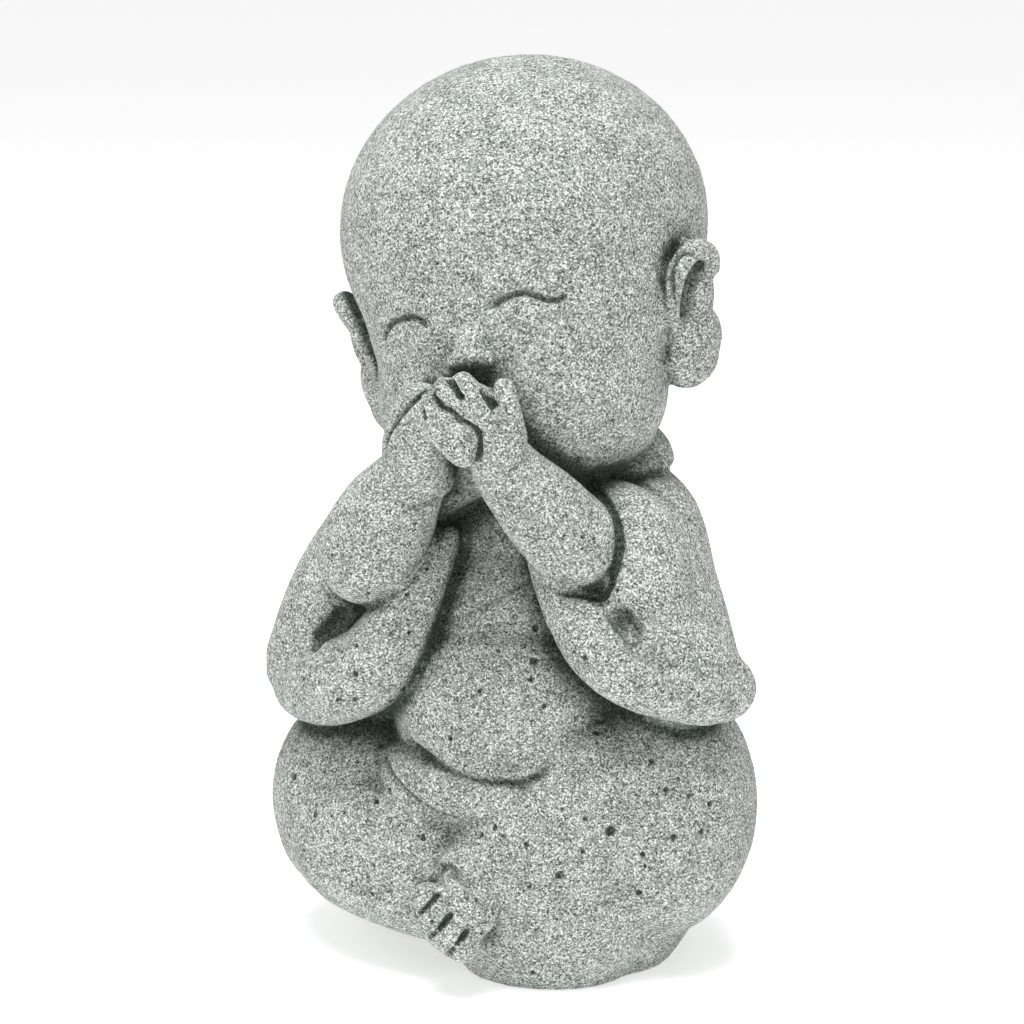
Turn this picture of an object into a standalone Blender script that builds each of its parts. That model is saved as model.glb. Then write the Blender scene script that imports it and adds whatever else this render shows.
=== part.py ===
"""A seated child monk with both hands over the mouth, cast in one piece from stone mortar.

The statue stands on its flat underside at z = 0 and faces -Y, so its left side is +X.
The figure is blocked in with round masses, as a modeller builds with clay: each body part is
a few balls and limbs that are fused and smoothed, the parts are fused into one skin, and the
grooves are pressed into it. Every place and radius of the figure is a share of its height:
one unit is a two-hundredth of the height.
"""
import math

import bmesh
import bpy
import numpy as np
from mathutils import Matrix, Vector

# Driving dimensions, in metres
STATUE_HEIGHT = 0.200
CLAY_GRAIN = 0.0007        # edge of the cells in which the masses are fused
HEAD_LEAN = math.radians(11.0)
TRIANGLES = 9400

UNIT = STATUE_HEIGHT / 200.0
STONE_COLOUR = (0.36, 0.39, 0.36, 1.0)
STONE_ROUGHNESS = 0.92

# The head has its own frame: its origin is the middle of the skull, and it leans to the right
HEAD_ORIGIN = Vector((-2.5, 4.0, 163.0))
HEAD_FRAME = Matrix.Translation(HEAD_ORIGIN) @ Matrix.Rotation(-HEAD_LEAN, 4, "Y")
BODY_FRAME = Matrix.Identity(4)

LIMB_SIDES = 28
LIMB_STEPS = 7              # rings between two stations of a limb
CAP_RINGS = 4


def clear_scene():
    """Starts from an empty scene."""
    for obj in list(bpy.data.objects):
        bpy.data.objects.remove(obj)


def smooth_through(stations, steps, closed=False):
    """Rows of numbers on one smooth curve through the stations, which are rows of numbers too."""
    rows = np.array(stations, float)
    count = len(rows)
    spans = count if closed else count - 1
    samples = []
    for i in range(spans):
        if closed:
            before, start, end, after = (rows[(i + k) % count] for k in (-1, 0, 1, 2))
        else:
            before, start, end, after = (rows[min(max(i + k, 0), count - 1)] for k in (-1, 0, 1, 2))
        for t in np.arange(steps) / steps:
            samples.append(0.5 * (2 * start + (end - before) * t
                                  + (2 * before - 5 * start + 4 * end - after) * t * t
                                  + (3 * start - before - 3 * end + after) * t ** 3))
    if not closed:
        samples.append(rows[-1])
    return np.array(samples)


class Clay:
    """Round masses of one body part, gathered in one mesh until they are fused."""

    def __init__(self, frame=BODY_FRAME):
        self.mesh = bmesh.new()
        self.frame = Matrix.Scale(UNIT, 4) @ frame

    def ball(self, centre, radii, turn=(0, 0, 0)):
        """An ellipsoid. turn is its rotation about X, Y and Z, in degrees."""
        place = Matrix.Translation(Vector(centre))
        for axis, angle in zip("XYZ", turn):
            place = place @ Matrix.Rotation(math.radians(angle), 4, axis)
        place = place @ Matrix.Diagonal(Vector((*radii, 1)))
        bmesh.ops.create_uvsphere(self.mesh, u_segments=32, v_segments=20, radius=1,
                                  matrix=self.frame @ place)
        return self

    def limb(self, stations, up=(0, 0, 1)):
        """A round-ended limb. A station is x, y, z and its half widths, across and along up."""
        rows = smooth_through(stations, LIMB_STEPS)
        centres, sizes = rows[:, :3], rows[:, 3:5]
        tangents = np.gradient(centres, axis=0)
        tangents /= np.linalg.norm(tangents, axis=1)[:, None]
        rings = []
        for shift, share in self._cap(sizes[0], -1):
            rings.append((centres[0] + tangents[0] * shift, tangents[0], sizes[0] * share))
        rings += list(zip(centres, tangents, sizes))
        for shift, share in reversed(self._cap(sizes[-1], 1)):
            rings.append((centres[-1] + tangents[-1] * shift, tangents[-1], sizes[-1] * share))
        loops = [self._ring(centre, tangent, size, up) for centre, tangent, size in rings]
        for one, two in zip(loops, loops[1:]):
            self._skin(one, two)
        self.mesh.faces.new(reversed(loops[0]))
        self.mesh.faces.new(loops[-1])
        return self

    def hoop(self, stations, up=(0, 0, 1)):
        """A closed ring, such as a collar. Each station has one more value, the section's roll."""
        rows = smooth_through(stations, LIMB_STEPS, closed=True)
        centres, sizes = rows[:, :3], rows[:, 3:5]
        tangents = np.roll(centres, -1, axis=0) - np.roll(centres, 1, axis=0)
        tangents /= np.linalg.norm(tangents, axis=1)[:, None]
        loops = [self._ring(centre, tangent, size, up, roll)
                 for centre, tangent, size, roll in zip(centres, tangents, sizes, rows[:, 5])]
        for one, two in zip(loops, loops[1:] + loops[:1]):
            self._skin(one, two)
        return self

    @staticmethod
    def _cap(size, side):
        """How far each ring of a round end stands off the last station, and its share of the size."""
        angles = [math.pi / 2 * (k + 0.35) / (CAP_RINGS + 0.35) for k in range(CAP_RINGS, 0, -1)]
        return [(side * min(size) * math.sin(a), math.cos(a)) for a in angles]

    def _ring(self, centre, tangent, size, up, roll=0.0):
        """One section of a limb: an ellipse square to the tangent."""
        across = np.cross(tangent, up)
        across /= np.linalg.norm(across)
        over = np.cross(across, tangent)
        c, s = math.cos(math.radians(roll)), math.sin(math.radians(roll))
        across, over = across * c + over * s, over * c - across * s
        verts = []
        for a in np.arange(LIMB_SIDES) * 2 * math.pi / LIMB_SIDES:
            point = centre + across * (size[0] * math.cos(a)) + over * (size[1] * math.sin(a))
            verts.append(self.mesh.verts.new(self.frame @ Vector(point)))
        return verts

    def _skin(self, one, two):
        """Side faces between two rings."""
        for k in range(LIMB_SIDES):
            j = (k + 1) % LIMB_SIDES
            self.mesh.faces.new((one[k], one[j], two[j], two[k]))

    def fused(self, smoothing, grain=CLAY_GRAIN):
        """The masses as one smoothed skin."""
        bmesh.ops.recalc_face_normals(self.mesh, faces=self.mesh.faces)
        data = bpy.data.meshes.new("clay")
        self.mesh.to_mesh(data)
        self.mesh.free()
        return remeshed([data], smoothing, grain)


def settled(obj):
    """A mesh with the object's modifiers applied. The object is removed."""
    graph = bpy.context.evaluated_depsgraph_get()
    data = bpy.data.meshes.new_from_object(obj.evaluated_get(graph))
    bpy.data.objects.remove(obj)
    return data


def remeshed(meshes, smoothing, grain=CLAY_GRAIN):
    """Several overlapping meshes as one skin of even cells, smoothed that many times."""
    joined = bmesh.new()
    for data in meshes:
        joined.from_mesh(data)
    data = bpy.data.meshes.new("clay")
    joined.to_mesh(data)
    joined.free()
    obj = bpy.data.objects.new("clay", data)
    bpy.context.scene.collection.objects.link(obj)
    remesh = obj.modifiers.new("Fuse", "REMESH")
    remesh.mode = "VOXEL"
    remesh.voxel_size = grain
    if smoothing:
        smooth = obj.modifiers.new("Smooth", "SMOOTH")
        smooth.factor = 0.5
        smooth.iterations = smoothing
    return settled(obj)


def head():
    """Skull, full cheeks and a small nose."""
    clay = Clay(HEAD_FRAME)
    clay.ball((0.2, 0, 0), (41.0, 42, 37.8))
    clay.ball((0.2, -6, -17), (35.8, 36.5, 28))
    clay.ball((-2.0, -13, -36), (32.6, 31, 23.5), (-14, 0, 0))
    rough = clay.fused(smoothing=44, grain=CLAY_GRAIN * 2.2)
    nose = Clay(HEAD_FRAME)
    nose.limb([(0.2, -38.6, -15, 2.4, 1.8), (0.2, -41.6, -19.5, 2.8, 2.4),
               (0.2, -44.8, -23.4, 3.1, 2.9)])
    for side in (-1, 1):
        nose.ball((0.2 + side * 3.5, -43.6, -24.4), (2.3, 2.5, 2.1))
    return remeshed([rough, nose.fused(smoothing=4)], smoothing=5)


def ear(side, out, tilt):
    """A long-lobed ear: a plate that swells into a heavy lobe, and a rim that curls over its top."""
    place = Matrix.Diagonal(Vector((side, 1, 1, 1))) @ Matrix.Translation(Vector((out, -12.5, -24)))
    turn = Matrix.Rotation(math.radians(50), 4, "Z") @ Matrix.Rotation(math.radians(tilt), 4, "X")
    clay = Clay(HEAD_FRAME @ place @ turn)
    clay.ball((7, 3.0, 2), (6, 3.4, 14))
    clay.ball((8.6, 0.4, 3.5), (3.6, 2.8, 7))
    clay.ball((7.4, 0.8, -6.5), (7.2, 4.4, 8.5))
    clay.ball((6.8, 0.9, -10.8), (7.2, 4.4, 6.8))
    clay.limb([(11.4, 0.6, 9.5, 2.2, 2.6), (9.8, -0.6, 13.2, 2.2, 2.6), (5.6, -1.6, 15.0, 2.3, 2.6),
               (1.6, -1.8, 11.5, 2.2, 2.6), (0.4, -1.2, 5, 2.0, 2.4), (1.2, -0.2, -1, 1.8, 2.2)],
              up=(0, 1, 0))
    return clay.fused(smoothing=4, grain=CLAY_GRAIN * 0.8)


def torso():
    """Neck, chest, back and seat of the robe, with the belly, and the lap cloth under it."""
    trunk = Clay()
    trunk.ball((0, 2, 90), (28, 23, 28))
    trunk.ball((0, 9, 70), (38, 29, 46))
    trunk.ball((0, 11, 52), (43, 28, 36))
    trunk.ball((0, -3, 76), (26, 24, 26))
    trunk.limb([(-22, 6, 100, 15, 10), (0, 8, 102, 17, 12), (22, 6, 100, 15, 10)])
    trunk.limb([(0, 5, 96, 21, 19), (1.5, 3, 128, 20, 19)], up=(0, 1, 0))
    trunk.ball((-1, 6, 33), (50, 36, 34))
    trunk.ball((0, 13, 24), (42, 31, 32))
    belly = Clay()
    belly.ball((1, -7, 59.5), (29, 29, 27))
    belly.ball((0, -4, 74), (27, 24, 24))
    lap = Clay()
    lap.ball((-1, -10, 43), (30, 28, 15))
    return [trunk.fused(smoothing=20, grain=CLAY_GRAIN * 2), belly.fused(smoothing=20),
            lap.fused(smoothing=10)]


def infill():
    """The clay behind the arms, inside the sleeves and under the collar, where no mould is drawn."""
    clay = Clay()
    clay.limb([(-25, -13, 80, 9.5, 9.5), (-21, -14.5, 94, 8, 8), (-14.5, -18.5, 106, 6.5, 6.5),
               (0, -18, 114, 7, 7), (13.5, -18.5, 108.5, 6.5, 6.5), (23, -12, 98, 7.5, 7.5),
               (25.5, -13, 82, 9.5, 9.5)], up=(0, 1, 0))
    clay.ball((0, 5, 109.5), (27.5, 21.5, 8.5))
    clay.limb([(-30, -14, 82, 8, 8), (-27, -15, 70, 8.5, 8.5), (-30, -12, 58, 8, 8)], up=(0, 1, 0))
    return clay.fused(smoothing=4)


def collar():
    """The robe's collar, a flat band that leans on the neck and dips into the chest."""
    clay = Clay()
    stations = []
    for k in range(12):
        a = 2 * math.pi * k / 12
        front = max(0.0, -math.cos(a)) ** 1.5
        stations.append((28.5 * math.sin(a), 4 + 21 * math.cos(a), 114.8 - 17 * front, 5.4, 2.5, 56))
    clay.hoop(stations)
    return clay.fused(smoothing=3)


def legs():
    """The crossed legs under the robe: the left shin lies over the right one."""
    left = Clay()
    left.ball((30, -5, 37), (25.0, 25, 31))
    left.ball((10.5, -15.5, 24), (27, 23.5, 33))
    left.ball((15, -3, 23), (28, 27, 32))
    left.limb([(26, -11, 35, 20, 28), (20, -20, 33, 17, 26), (10, -28, 27, 14, 17), (1, -34, 23, 9, 11)])
    right = Clay()
    right.ball((-33.3, -4, 32), (26.3, 25, 27.4))
    right.ball((-14, -19, 29), (21, 17.5, 16))
    right.limb([(-34, -10, 28.5, 22, 21.7), (-27, -20, 25.4, 18.2, 17.8), (-13, -27, 20.6, 14, 13.2),
                (0, -29, 18, 11, 11)])
    return [left.fused(smoothing=34), right.fused(smoothing=34)]


def foot():
    """The left foot, which shows under the hem."""
    clay = Clay()
    clay.ball((1.5, -39.5, 20.5), (7.5, 5.5, 8.5), (0, 38, 0))
    clay.limb([(-6.3, -42, 21.6, 4.4, 4.2), (-3.2, -42.2, 16.4, 4.8, 4.4), (1.6, -41, 12.4, 4.4, 4.0)])
    return clay.fused(smoothing=3)


def left_sleeve():
    """The left sleeve, which hangs open round the forearm."""
    clay = Clay()
    clay.limb([(20, 2, 101.5, 12, 12.5), (26, -1, 98, 14.5, 15), (31, -7, 87, 14.5, 18),
               (36, -11, 77, 14.5, 16.5), (41, -13.5, 68, 14, 10.5)], up=(0, 1, 0))
    clay.ball((48.2, -13, 66.8), (9.3, 8.5, 7.9))
    clay.limb([(47, -17, 67, 8, 8), (37, -27, 72, 8.5, 8.5), (29, -30, 78, 8.5, 8.5),
               (22, -30, 85, 6.5, 6.5), (15, -26, 93, 4.5, 4.5), (10, -21, 100, 3.5, 3.5)])
    clay.limb([(24.5, -15, 104, 8, 8), (31, -18.5, 100.5, 9.5, 9.5), (34.3, -20.5, 94, 10.5, 10.5),
               (35, -21.5, 86.5, 10.5, 11), (38.5, -21, 79.5, 9.8, 10), (46, -18.5, 73.5, 8, 8.5)],
              up=(0, 1, 0))
    return clay.fused(smoothing=8)


def right_sleeve():
    """The right sleeve, which hangs lower than the left one."""
    clay = Clay()
    clay.limb([(-18, 3, 99, 11.5, 12), (-28, -1, 97, 14, 14), (-35.5, -8, 86, 13.8, 17),
               (-40.5, -10, 74, 14.6, 15.5), (-44, -12, 62, 15, 11.5)], up=(0, 1, 0))
    clay.limb([(-46, -16, 60, 9, 9), (-36, -25, 63, 9.5, 9.5), (-25, -29, 69, 9.5, 9.5),
               (-19, -29, 78, 8, 8), (-14, -27, 88, 5.5, 5.5), (-11, -22, 97, 4, 4)])
    return clay.fused(smoothing=8)


def left_arm():
    """The left forearm, and the hand that lies on top."""
    arm = Clay()
    arm.limb([(21.8, -28, 99.3, 10.2, 10.2), (15.8, -34, 108, 9.3, 9.3), (11.4, -39, 115, 7.9, 7.6),
              (9.4, -42, 120, 7.2, 6.4)])
    arm.ball((9.6, -46, 126.2), (7.2, 4.6, 9), (0, -20, 0))
    arm.ball((2.6, -45.2, 129), (8.2, 3.5, 6.6), (0, -35, 0))
    hand = arm.fused(smoothing=6)
    fingers = Clay()
    fingers.limb([(9.6, -48.5, 129.2, 3.3, 2.9), (6.8, -49, 133.2, 2.9, 2.7),
                  (4.3, -48.9, 136.4, 2.3, 2.2)])
    fingers.limb([(6.2, -48.7, 128.5, 3.2, 2.8), (2.7, -49.6, 132, 2.8, 2.6),
                  (0.3, -49.6, 134.9, 2.4, 2.3)])
    fingers.limb([(2.8, -48.4, 127, 3.1, 2.7), (-0.8, -49.2, 129.9, 2.7, 2.5), (-3, -49, 132, 2.2, 2.1)])
    fingers.limb([(-2.4, -47, 125, 2.7, 2.4), (-4.9, -47, 127.8, 2.5, 2.2), (-6.4, -46.7, 130.2, 2, 1.9)])
    fingers.limb([(13.4, -45, 124, 3.6, 3.4), (13.3, -47, 131, 3.0, 2.8), (12.6, -47, 135, 2.4, 2.4)])
    fingers.limb([(-2.2, -48.7, 128, 3.0, 2.7), (1.3, -49.4, 125, 4.4, 3.8), (4.2, -48.5, 121.6, 4.2, 3.6)])
    return [remeshed([hand, fingers.fused(smoothing=2, grain=CLAY_GRAIN * 0.7)], smoothing=2)]


def right_arm():
    """The right forearm, and the hand under the other one."""
    arm = Clay()
    arm.limb([(-26, -28, 94, 12, 12), (-20.6, -31, 103, 11, 11), (-15.2, -34, 110, 8.8, 8.8)])
    hand = Clay()
    hand.limb([(-11.8, -34, 114, 8.2, 7.5), (-10.4, -37.5, 119, 8.2, 7), (-8, -42, 125, 7.5, 5.8),
               (-6.2, -43.8, 130, 6.2, 4.6)], up=(0, 1, 0))
    hand.limb([(-12.6, -39.8, 126.5, 2.6, 2.4), (-10.4, -41, 132.4, 2.2, 2.0)])
    return [arm.fused(smoothing=8), hand.fused(smoothing=3)]


# Grooves pressed into the fused figure: half width, depth, and the places they run through
GROOVES = [
    # Closed eyes
    (1.5, 1.4, [(6.1, -37.3, 149.9), (8.6, -36.5, 152.2), (13, -35.1, 153.4), (17.3, -33.5, 151.9),
                (19.3, -32.3, 152), (21, -31, 153.3)]),
    (1.5, 1.4, [(-22.6, -28.7, 140.3), (-21.2, -30.3, 143), (-18.7, -32.3, 145.4), (-15, -34.3, 146.8),
                (-11.9, -35.7, 147), (-8.9, -36.7, 145.6)]),
    # Left hand: between the fingers, round the heel of the hand, and beside the thumb
    (1.1, 1.6, [(1.4, -50.4, 137.8), (3.1, -51.2, 135.6), (5.2, -51.8, 133)]),
    (1.2, 1.5, [(-1.9, -49.8, 134), (-0.5, -51.2, 132.4), (0.8, -51.8, 131), (2.9, -52, 130.3),
                (4.8, -52, 128.6), (6.8, -51.6, 127.6), (8.2, -51, 126.2), (8.5, -50.5, 124.2),
                (8.4, -50, 121.6), (7.4, -49, 119)]),
    (1.1, 1.3, [(-4.5, -49.8, 131.6), (-3.9, -50, 129.5), (-2.9, -50.6, 128)]),
    (1.4, 1.7, [(9.7, -49.4, 135.6), (10.4, -50, 133.7), (11.8, -50.2, 131.4)]),
    # The fold of the right wrist
    (1.7, 1.6, [(-15, -40.7, 109.7), (-12.9, -40.3, 108.7), (-10.4, -38.6, 108.1), (-7.7, -36.3, 109),
                (-4.9, -36.3, 111.5), (-2.9, -33.3, 112.5)]),
    # Crossed collar, and a fold of the belly
    (1.4, 0.9, [(-6.2, -26.2, 80.6), (0.8, -25.6, 84.2), (5.3, -23.9, 86.9), (8.7, -21.9, 88.9)]),
    (2.4, 0.8, [(-8.6, -34, 62.2), (-3.3, -35.5, 59.2), (2.9, -35.6, 58.5)]),
    # Hems of the belly and of the lap cloth
    (2.4, 1.6, [(-18.8, -27.1, 54.1), (-9.7, -32, 50.5), (-1.6, -34.5, 48.1), (6.5, -34.2, 47.3),
                (14.5, -34, 49.8), (19.3, -31.4, 54.1)]),
    (2.2, 1.6, [(-25.2, -23.6, 48.4), (-18, -32.2, 44.5), (-11.6, -36.1, 41.2), (-5.3, -37.1, 38.7),
                (-0.4, -37, 37.4)]),
    # Hem over the foot, and between the toes
    (1.6, 1.2, [(-6.6, -39.6, 26.8), (-3, -41.4, 28.7), (1.1, -43.2, 27.4), (4.4, -44.3, 24.9),
                (5.8, -44.3, 21.7)]),
    (1.1, 1.6, [(-3, -45.5, 24.2), (-6.3, -46.5, 19.5)]),
    (1.1, 1.6, [(0.6, -46, 20.5), (-3.6, -46, 15.4)]),
    (1.1, 1.6, [(3.6, -45.4, 16.8), (-0.3, -45, 12)]),
    (1.1, 1.4, [(5.8, -44, 12), (3.6, -43, 10)]),
    # Folds low on the legs
    (2.4, 0.8, [(-37.5, -34.5, 23), (-28.8, -38.1, 22.2), (-20.2, -39.8, 21.4), (-14.7, -40.3, 22.2)]),
    (2.2, 0.8, [(10.2, -40.9, 30.2), (13.6, -40.6, 27.8), (18.7, -38.9, 26.5), (22.2, -37.7, 28.4)]),
    (2.2, 0.7, [(25.8, -36.4, 22.1), (31.7, -33.7, 23.8), (38, -28.7, 24.8), (46.2, -22.5, 27.5)]),
    # Folds of the sleeves
    (3.4, 2.0, [(30.5, -25.4, 88.4), (33, -31.2, 84.9), (35.3, -34, 81.8), (37.2, -34.5, 78.8),
                (39.3, -34, 77.2), (42.4, -32, 75.3), (47, -27.8, 72.5)]),
    (3.2, 1.5, [(-33.5, -24.9, 80.3), (-34.9, -24.9, 77.5), (-38.2, -25.4, 72.8), (-39.3, -30.5, 70)]),
    # The ledge under the collar
    (1.6, 1.2, [(21, -20, 112), (24.2, -12.9, 111.6), (26.3, -7.2, 111.2), (30, -2, 111.2),
                (31.5, 6, 110.7)]),
]


def pressed(data):
    """The mesh with the grooves pressed into it."""
    count = len(data.vertices)
    places = np.empty(count * 3)
    normals = np.empty(count * 3)
    data.vertices.foreach_get("co", places)
    data.vertices.foreach_get("normal", normals)
    places = places.reshape(-1, 3) / UNIT
    normals = normals.reshape(-1, 3)
    sunk = np.zeros(count)
    for width, depth, stations in GROOVES:
        path = smooth_through(stations, 10)
        reach = width + 4
        near = np.flatnonzero(((places > path.min(0) - reach) & (places < path.max(0) + reach)).all(1))
        on_skin = places[near][np.linalg.norm(places[near, None] - path[None], axis=2).argmin(0)]
        gaps = np.linalg.norm(places[near, None] - on_skin[None], axis=2).min(1)
        shape = np.clip(1 - (gaps / width) ** 2, 0, 1)
        sunk[near] = np.maximum(sunk[near], depth * shape)
    places -= normals * sunk[:, None]
    data.vertices.foreach_set("co", (places * UNIT).ravel())
    data.update()
    return data


def full_height(data):
    """The mesh scaled so that it is exactly as high as the statue."""
    top = max(v.co.z for v in data.vertices)
    data.transform(Matrix.Scale(STATUE_HEIGHT / top, 4))
    return data


def centred(data):
    """The mesh moved so that the middle of its outline is over the origin."""
    for axis in (0, 1):
        values = [v.co[axis] for v in data.vertices]
        shift = Vector((0, 0, 0))
        shift[axis] = -(min(values) + max(values)) / 2
        data.transform(Matrix.Translation(shift))
    return data


def stone():
    """The mortar: matt grey-green stone."""
    material = bpy.data.materials.new("stone")
    material.use_nodes = True
    shader = material.node_tree.nodes["Principled BSDF"]
    shader.inputs["Base Color"].default_value = STONE_COLOUR
    shader.inputs["Roughness"].default_value = STONE_ROUGHNESS
    shader.inputs["Metallic"].default_value = 0.0
    return material


def softened(data):
    """The mesh with the edges of its grooves worn a little."""
    obj = bpy.data.objects.new("clay", data)
    bpy.context.scene.collection.objects.link(obj)
    soft = obj.modifiers.new("Soften", "SMOOTH")
    soft.factor = 0.5
    soft.iterations = 1
    return settled(obj)


def thinned(data, triangles):
    """The mesh brought down to about that many triangles, most of them where it curves."""
    obj = bpy.data.objects.new("clay", data)
    bpy.context.scene.collection.objects.link(obj)
    data.calc_loop_triangles()
    thin = obj.modifiers.new("Thin", "DECIMATE")
    thin.ratio = triangles / len(data.loop_triangles)
    return settled(obj)


def settled_flat(data):
    """The mesh with its underside back at exactly z = 0, which thinning leaves a few microns out."""
    for vert in data.vertices:
        if vert.co.z < UNIT / 10:
            vert.co.z = 0.0
    mesh = bmesh.new()
    mesh.from_mesh(data)
    bmesh.ops.dissolve_degenerate(mesh, dist=1e-6, edges=mesh.edges)
    bmesh.ops.triangulate(mesh, faces=mesh.faces)
    bmesh.ops.recalc_face_normals(mesh, faces=mesh.faces)
    mesh.to_mesh(data)
    mesh.free()
    return data


def cut_flat(data):
    """Cuts the mesh off flat at z = 0, where the statue stands."""
    mesh = bmesh.new()
    mesh.from_mesh(data)
    found = bmesh.ops.bisect_plane(mesh, geom=mesh.verts[:] + mesh.edges[:] + mesh.faces[:], dist=1e-7,
                                   plane_co=(0, 0, 0), plane_no=(0, 0, -1), clear_outer=True)
    rim = [e for e in found["geom_cut"] if isinstance(e, bmesh.types.BMEdge)]
    bmesh.ops.holes_fill(mesh, edges=rim, sides=0)
    bmesh.ops.triangulate(mesh, faces=mesh.faces)
    bmesh.ops.recalc_face_normals(mesh, faces=mesh.faces)
    mesh.to_mesh(data)
    mesh.free()
    return data


def statue():
    """The whole casting."""
    parts = [head(), ear(1, out=33.5, tilt=20), ear(-1, out=34.6, tilt=9), collar(), infill(), foot(),
             left_sleeve(), right_sleeve()]
    for group in (torso(), legs(), left_arm(), right_arm()):
        parts += group
    skin = full_height(softened(pressed(remeshed(parts, smoothing=3))))
    skin = full_height(thinned(cut_flat(skin), TRIANGLES))
    skin = centred(settled_flat(skin))
    skin.name = "monk_statue"
    skin.materials.append(stone())
    skin.shade_smooth()
    obj = bpy.data.objects.new("monk_statue", skin)
    bpy.context.scene.collection.objects.link(obj)
    return obj


clear_scene()
statue()
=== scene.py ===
"""A seated child monk of cast stone mortar, with both hands over the mouth.

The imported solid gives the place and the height. The piece made here keeps that form and has the
fine relief that the solid leaves out: crisp hems and finger lines, the worn skin of the casting,
its air-bubble pores, and a mortar finish with light and dark sand grains.
The figure faces -Y, so its left side is +X. One unit is a two-hundredth of its height.
"""

import logging
import math
from dataclasses import dataclass, field, replace
from enum import Enum

import bpy
import numpy as np
from mathutils import Matrix, Vector
from mathutils.bvhtree import BVHTree


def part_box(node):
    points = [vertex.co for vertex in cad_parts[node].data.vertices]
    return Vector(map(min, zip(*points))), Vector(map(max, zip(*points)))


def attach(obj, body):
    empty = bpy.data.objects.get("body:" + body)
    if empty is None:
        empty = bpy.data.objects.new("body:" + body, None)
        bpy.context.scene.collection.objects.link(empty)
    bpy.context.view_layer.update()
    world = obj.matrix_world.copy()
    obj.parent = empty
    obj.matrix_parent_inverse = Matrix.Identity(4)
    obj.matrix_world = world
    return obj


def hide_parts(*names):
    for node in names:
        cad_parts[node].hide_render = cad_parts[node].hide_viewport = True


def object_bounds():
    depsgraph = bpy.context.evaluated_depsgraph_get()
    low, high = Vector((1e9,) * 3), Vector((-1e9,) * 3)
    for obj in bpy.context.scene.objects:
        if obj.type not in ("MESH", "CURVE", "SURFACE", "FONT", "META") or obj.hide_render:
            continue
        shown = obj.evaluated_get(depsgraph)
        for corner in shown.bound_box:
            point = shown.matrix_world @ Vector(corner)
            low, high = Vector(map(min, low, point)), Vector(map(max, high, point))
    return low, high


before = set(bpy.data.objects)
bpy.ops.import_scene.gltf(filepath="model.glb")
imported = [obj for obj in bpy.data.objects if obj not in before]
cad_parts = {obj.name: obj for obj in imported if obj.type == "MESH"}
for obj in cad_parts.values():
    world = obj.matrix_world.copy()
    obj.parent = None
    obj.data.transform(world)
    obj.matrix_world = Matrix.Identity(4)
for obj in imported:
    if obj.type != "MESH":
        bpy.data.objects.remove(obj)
cad_low, cad_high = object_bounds()

LOG = logging.getLogger("monk statue")
NODE = "monk_statue"

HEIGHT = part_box(NODE)[1].z
UNIT = HEIGHT / 200.0
MM_IN_METRE = 1000.0

Row = tuple[float, ...]
Path = tuple[Row, ...]
Socket = bpy.types.NodeSocket


class Side(Enum):
    """The figure's own sides."""

    LEFT = 1
    RIGHT = -1


class Cut(Enum):
    """What a line pressed into the figure looks like across its width."""

    GROOVE = "a round-bottomed groove"
    FOLD = "a soft dip of the cloth"
    HEM = "an edge of cloth, whose lower side is on the right of the line"


def select_only(obj: bpy.types.Object) -> None:
    """Makes an object the only selected one, and the active one."""
    bpy.ops.object.select_all(action="DESELECT")
    obj.select_set(True)
    bpy.context.view_layer.objects.active = obj


def finish_with(obj: bpy.types.Object, kind: str, **settings: object) -> bpy.types.Object:
    """Adds a modifier to an object and applies it.

    Args:
        obj: the object that is finished.
        kind: the modifier's type.
        settings: the modifier's own settings.

    Returns:
        The same object.
    """
    select_only(obj)
    modifier = obj.modifiers.new(kind.title(), kind)
    for name, value in settings.items():
        setattr(modifier, name, value)
    bpy.ops.object.modifier_apply(modifier=modifier.name)
    return obj


def joined(objects: list[bpy.types.Object], name: str) -> bpy.types.Object:
    """Joins several objects in one.

    Args:
        objects: the objects, of which the first stays.
        name: its new name.

    Returns:
        The first object, with the meshes of all.
    """
    select_only(objects[0])
    for obj in objects:
        obj.select_set(True)
    bpy.ops.object.join()
    objects[0].name = name
    return objects[0]


def smooth_through(stations: Path, steps: int, closed: bool = False) -> np.ndarray:
    """Rows of numbers on one smooth curve through the stations.

    Args:
        stations: the rows that the curve runs through.
        steps: how many rows there are from one station to the next.
        closed: whether the last station leads back to the first.

    Returns:
        The rows, one below the other.
    """
    rows = np.array(stations, float)
    count = len(rows)
    samples = []
    for i in range(count if closed else count - 1):
        places = [(i + k) % count if closed else min(max(i + k, 0), count - 1) for k in (-1, 0, 1, 2)]
        before, start, end, after = rows[places]
        for t in np.arange(steps) / steps:
            samples.append(0.5 * (2 * start + (end - before) * t
                                  + (2 * before - 5 * start + 4 * end - after) * t * t
                                  + (3 * start - before - 3 * end + after) * t ** 3))
    if not closed:
        samples.append(rows[-1])
    return np.array(samples)


@dataclass(frozen=True)
class Ball:
    """A round mass of clay: an ellipsoid.

    Attributes:
        centre: its middle, in units.
        radii: its half lengths along X, Y and Z before it is turned, in units.
        turn: its rotation about X, Y and Z, in degrees.
    """

    centre: Row
    radii: Row
    turn: Row = (0, 0, 0)

    def model(self, place: Matrix) -> bpy.types.Object:
        """Models the mass from a sphere, in the place that its body part has."""
        bpy.ops.mesh.primitive_uv_sphere_add(segments=40, ring_count=24, radius=1.0)
        obj = bpy.context.object
        own = Matrix.Translation(Vector(self.centre))
        for axis, angle in zip("XYZ", self.turn):
            own = own @ Matrix.Rotation(math.radians(angle), 4, axis)
        obj.data.transform(place @ own @ Matrix.Diagonal(Vector((*self.radii, 1))))
        return obj


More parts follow.
